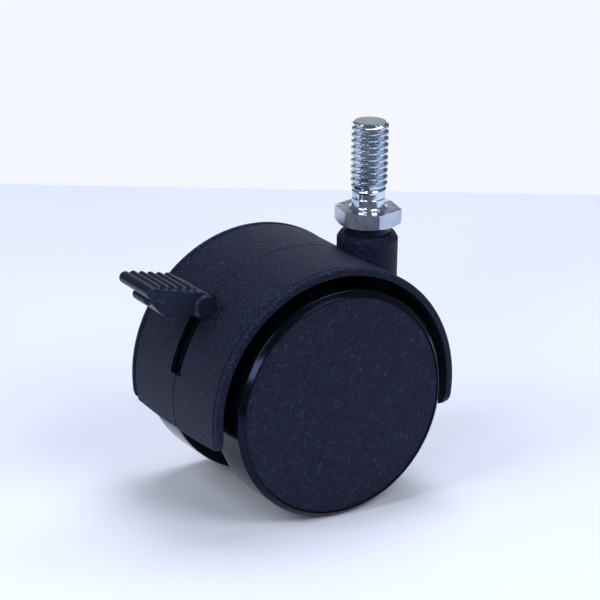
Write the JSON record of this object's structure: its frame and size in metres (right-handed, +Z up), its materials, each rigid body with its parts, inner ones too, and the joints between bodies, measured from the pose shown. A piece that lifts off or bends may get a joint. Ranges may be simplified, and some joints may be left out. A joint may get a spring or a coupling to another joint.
{
  "type": "chair caster wheel",
  "caption": "Hooded twin-wheel swivel caster with a threaded stem, a hex seat and a toe-operated brake lever.",
  "frame": {"origin": "centre of the top face of the stem's hex, on the stem axis, where the caster seats under a chair base", "axes": "+Z up the stem, -X towards the brake lever, +Y towards the left wheel, along the axle"},
  "size_m": [0.0683, 0.0416, 0.0793],
  "materials": {
    "black_nylon": "spark-eroded fine grain, matt",
    "black_lever_nylon": "smooth moulded, semi-matt",
    "black_polyurethane": "smooth moulded, semi-gloss",
    "zinc_steel": "bright blue-clear zinc plate",
    "spring_steel": "oiled spring steel",
    "grey_acetal": "smooth moulded",
    "brake_rubber": "moulded rubber"
  },
  "bodies": {
    "stem": {"threaded_stem": "zinc_steel", "stem_snap_ring": "spring_steel"},
    "swivel_housing": {"housing": "black_nylon", "stem_sleeve": "spring_steel", "thrust_washer": "grey_acetal", "axle_pin": "zinc_steel", "right_axle_clip": "spring_steel", "left_axle_clip": "spring_steel", "detent_spring": "spring_steel"},
    "right_wheel": {"right_wheel_core": "black_nylon", "right_tread": "black_polyurethane", "right_wheel_cover": "black_nylon", "right_hub_bush": "grey_acetal"},
    "left_wheel": {"left_wheel_core": "black_nylon", "left_tread": "black_polyurethane", "left_wheel_cover": "black_nylon", "left_hub_bush": "grey_acetal"},
    "lever": {"brake_lever": "black_lever_nylon"},
    "brake": {"brake_bar": "zinc_steel", "right_brake_shoe": "brake_rubber", "left_brake_shoe": "brake_rubber"}
  },
  "joints": [
    {"name": "swivel", "type": "hinge", "parent": "stem", "child": "swivel_housing", "pos_m": [0, 0, 0], "axis": [0, 0, 1], "continuous": true},
    {"name": "right_wheel_spin", "type": "hinge", "parent": "swivel_housing", "child": "right_wheel", "pos_m": [-0.0184, 0, -0.0352], "axis": [0, 1, 0], "continuous": true},
    {"name": "left_wheel_spin", "type": "hinge", "parent": "swivel_housing", "child": "left_wheel", "pos_m": [-0.0184, 0, -0.0352], "axis": [0, 1, 0], "continuous": true},
    {"name": "brake_lever_turn", "type": "hinge", "parent": "swivel_housing", "child": "lever", "pos_m": [-0.0184, 0, -0.0352], "axis": [0, -1, 0], "range_deg": [0, 24], "deforming": ["detent_spring"]},
    {"name": "brake_bar_slide", "type": "slide", "parent": "swivel_housing", "child": "brake", "axis": [-0.8746, 0, 0.4848], "range_m": [0, 0.0012]}
  ],
  "couplings": [
    {"joint": "brake_bar_slide", "follows": "brake_lever_turn", "m_per_rad": 0.0028648}
  ]
}
